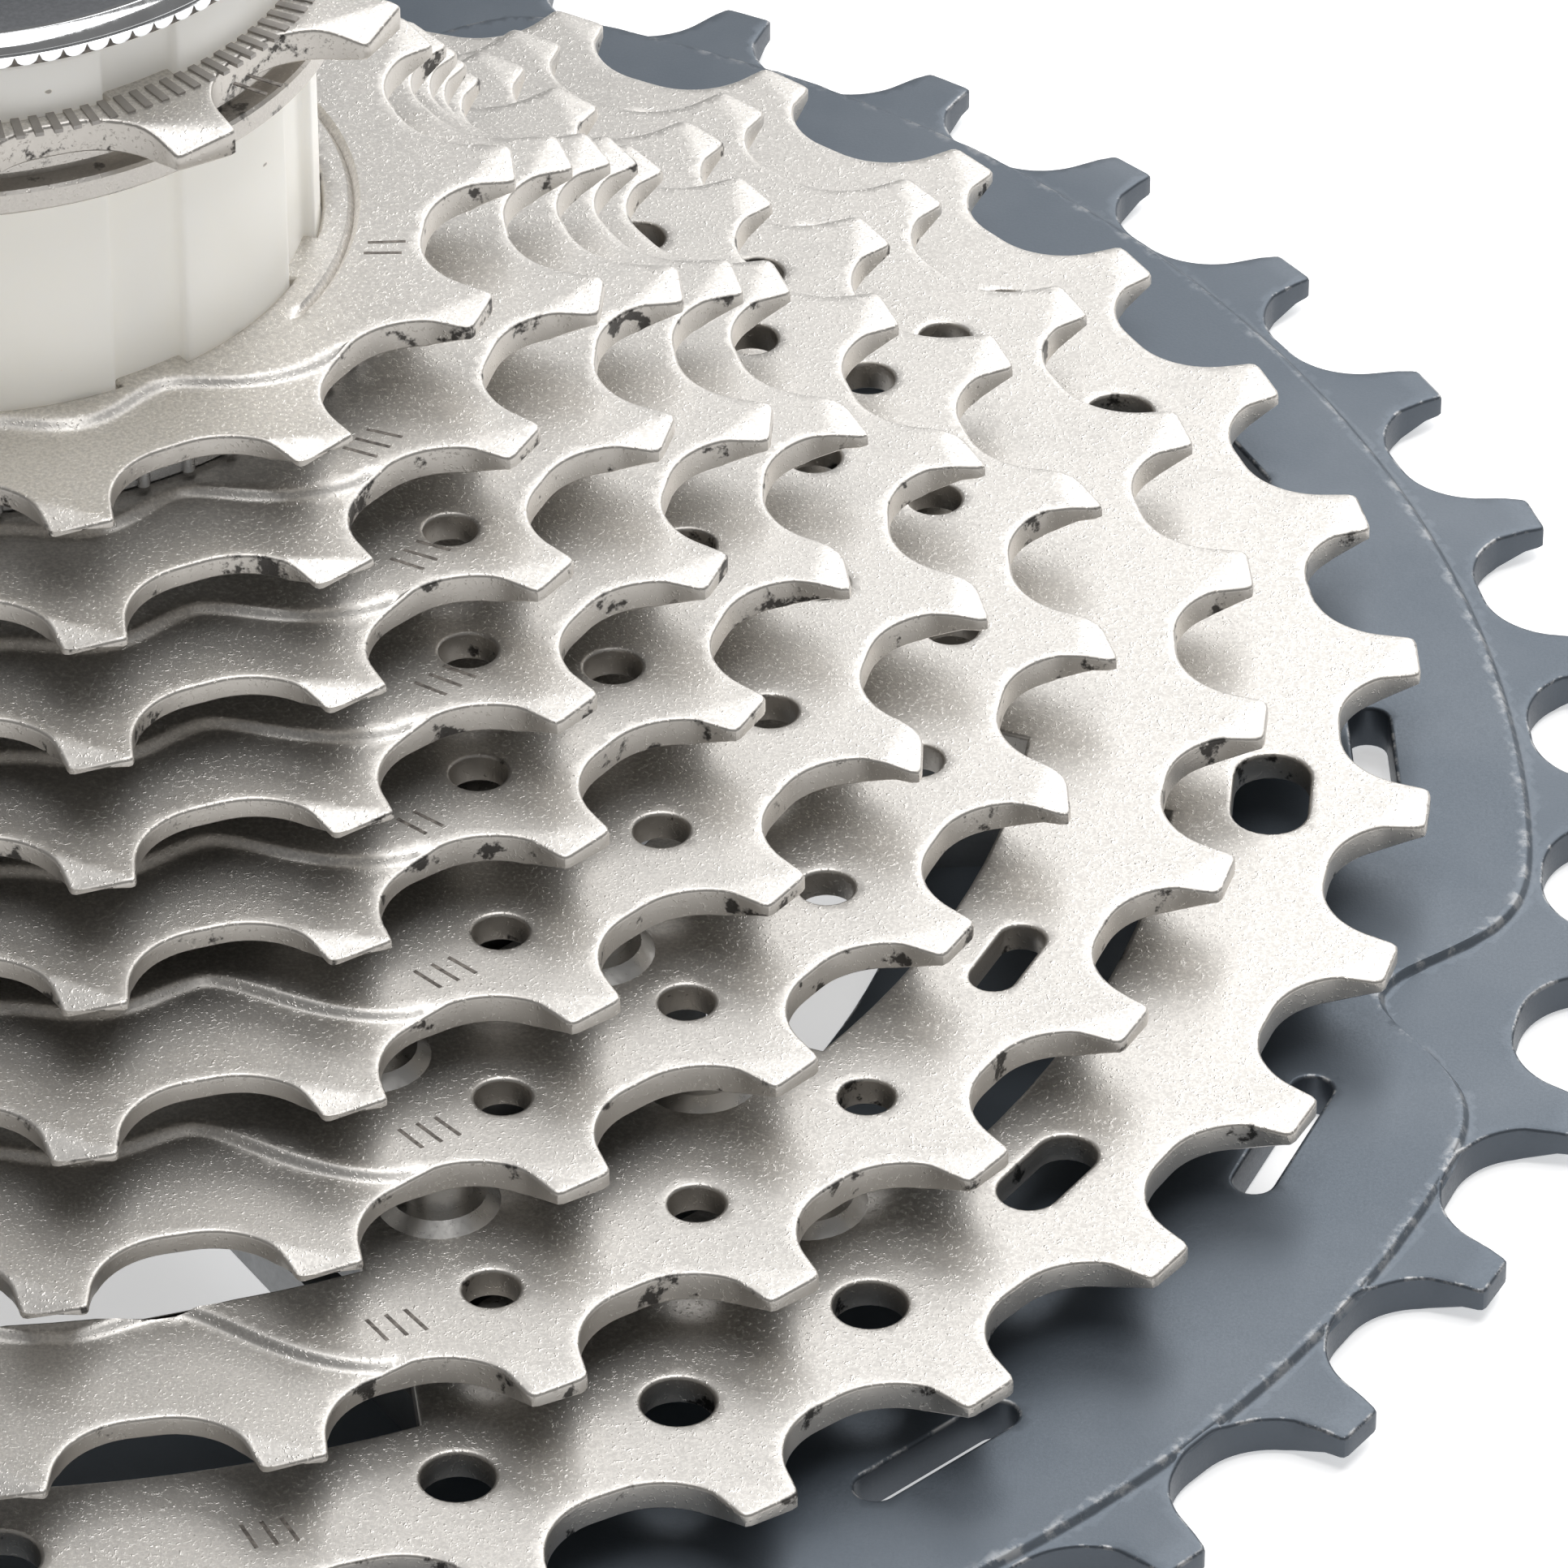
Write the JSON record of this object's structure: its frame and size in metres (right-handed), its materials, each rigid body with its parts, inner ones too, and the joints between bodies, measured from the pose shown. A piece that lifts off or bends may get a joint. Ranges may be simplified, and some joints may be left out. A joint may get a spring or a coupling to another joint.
{
  "type": "bicycle cassette",
  "caption": "Stepped stack of toothed sprocket rings on a splined white plastic core, small ones bright, largest dark, topped by a serrated lockring.",
  "frame": {"origin": "on the cassette's axis, in the plane of the largest sprocket's back face", "axes": "+Z along the axis, from the largest sprocket towards the lockring; X and Y are across"},
  "size_m": [0.1634, 0.1634, 0.0578],
  "materials": {
    "nickel_steel": "nickel-plated steel with a fine blasted grain",
    "anodised_aluminium": "matt blue-grey anodised",
    "spider_aluminium": "forged and turned, satin grey",
    "spacer_aluminium": "turned, satin",
    "rivet_steel": "turned, satin",
    "core_plastic": "milky white moulded plastic, slightly translucent",
    "lockring_chrome": "polished with a dark grey painted face"
  },
  "bodies": {
    "core": {"transport_core": "core_plastic", "large_spider": "spider_aluminium", "sprocket_35t": "nickel_steel", "sprocket_40t": "anodised_aluminium", "rivets_35t": "rivet_steel"},
    "small_unit": {"small_spider": "spider_aluminium", "sprocket_24t": "nickel_steel", "sprocket_27t": "nickel_steel", "sprocket_31t": "nickel_steel", "rivets_24t": "rivet_steel", "rivets_27t": "rivet_steel", "rivets_31t": "rivet_steel"},
    "spacer_21t_24t": {"spacer_21t_24t": "spacer_aluminium"},
    "sprocket_21t": {"sprocket_21t": "nickel_steel"},
    "spacer_19t_21t": {"spacer_19t_21t": "spacer_aluminium"},
    "sprocket_19t": {"sprocket_19t": "nickel_steel"},
    "spacer_17t_19t": {"spacer_17t_19t": "spacer_aluminium"},
    "sprocket_17t": {"sprocket_17t": "nickel_steel"},
    "spacer_15t_17t": {"spacer_15t_17t": "spacer_aluminium"},
    "sprocket_15t": {"sprocket_15t": "nickel_steel"},
    "spacer_13t_15t": {"spacer_13t_15t": "spacer_aluminium"},
    "sprocket_13t": {"sprocket_13t": "nickel_steel"},
    "sprocket_11t": {"sprocket_11t": "nickel_steel"},
    "lockring": {"lockring": "lockring_chrome"}
  },
  "joints": [
    {"name": "small_unit_lift", "type": "slide", "parent": "core", "child": "small_unit", "axis": [0, 0, 1], "range_m": [0, 0.001]},
    {"name": "spacer_21t_24t_lift", "type": "slide", "parent": "small_unit", "child": "spacer_21t_24t", "axis": [0, 0, 1], "range_m": [0, 0.001]},
    {"name": "sprocket_21t_lift", "type": "slide", "parent": "spacer_21t_24t", "child": "sprocket_21t", "axis": [0, 0, 1], "range_m": [0, 0.001]},
    {"name": "spacer_19t_21t_lift", "type": "slide", "parent": "sprocket_21t", "child": "spacer_19t_21t", "axis": [0, 0, 1], "range_m": [0, 0.001]},
    {"name": "sprocket_19t_lift", "type": "slide", "parent": "spacer_19t_21t", "child": "sprocket_19t", "axis": [0, 0, 1], "range_m": [0, 0.001]},
    {"name": "spacer_17t_19t_lift", "type": "slide", "parent": "sprocket_19t", "child": "spacer_17t_19t", "axis": [0, 0, 1], "range_m": [0, 0.001]},
    {"name": "sprocket_17t_lift", "type": "slide", "parent": "spacer_17t_19t", "child": "sprocket_17t", "axis": [0, 0, 1], "range_m": [0, 0.001]},
    {"name": "spacer_15t_17t_lift", "type": "slide", "parent": "sprocket_17t", "child": "spacer_15t_17t", "axis": [0, 0, 1], "range_m": [0, 0.001]},
    {"name": "sprocket_15t_lift", "type": "slide", "parent": "spacer_15t_17t", "child": "sprocket_15t", "axis": [0, 0, 1], "range_m": [0, 0.001]},
    {"name": "spacer_13t_15t_lift", "type": "slide", "parent": "sprocket_15t", "child": "spacer_13t_15t", "axis": [0, 0, 1], "range_m": [0, 0.001]},
    {"name": "sprocket_13t_lift", "type": "slide", "parent": "spacer_13t_15t", "child": "sprocket_13t", "axis": [0, 0, 1], "range_m": [0, 0.001]},
    {"name": "sprocket_11t_slide", "type": "slide", "parent": "core", "child": "sprocket_11t", "axis": [0, 0, 1], "range_m": [-0.0115, 0.0028]},
    {"name": "lockring_spin", "type": "hinge", "parent": "core", "child": "lockring", "pos_m": [0, 0, 0.057], "axis": [0, 0, 1], "continuous": true}
  ]
}
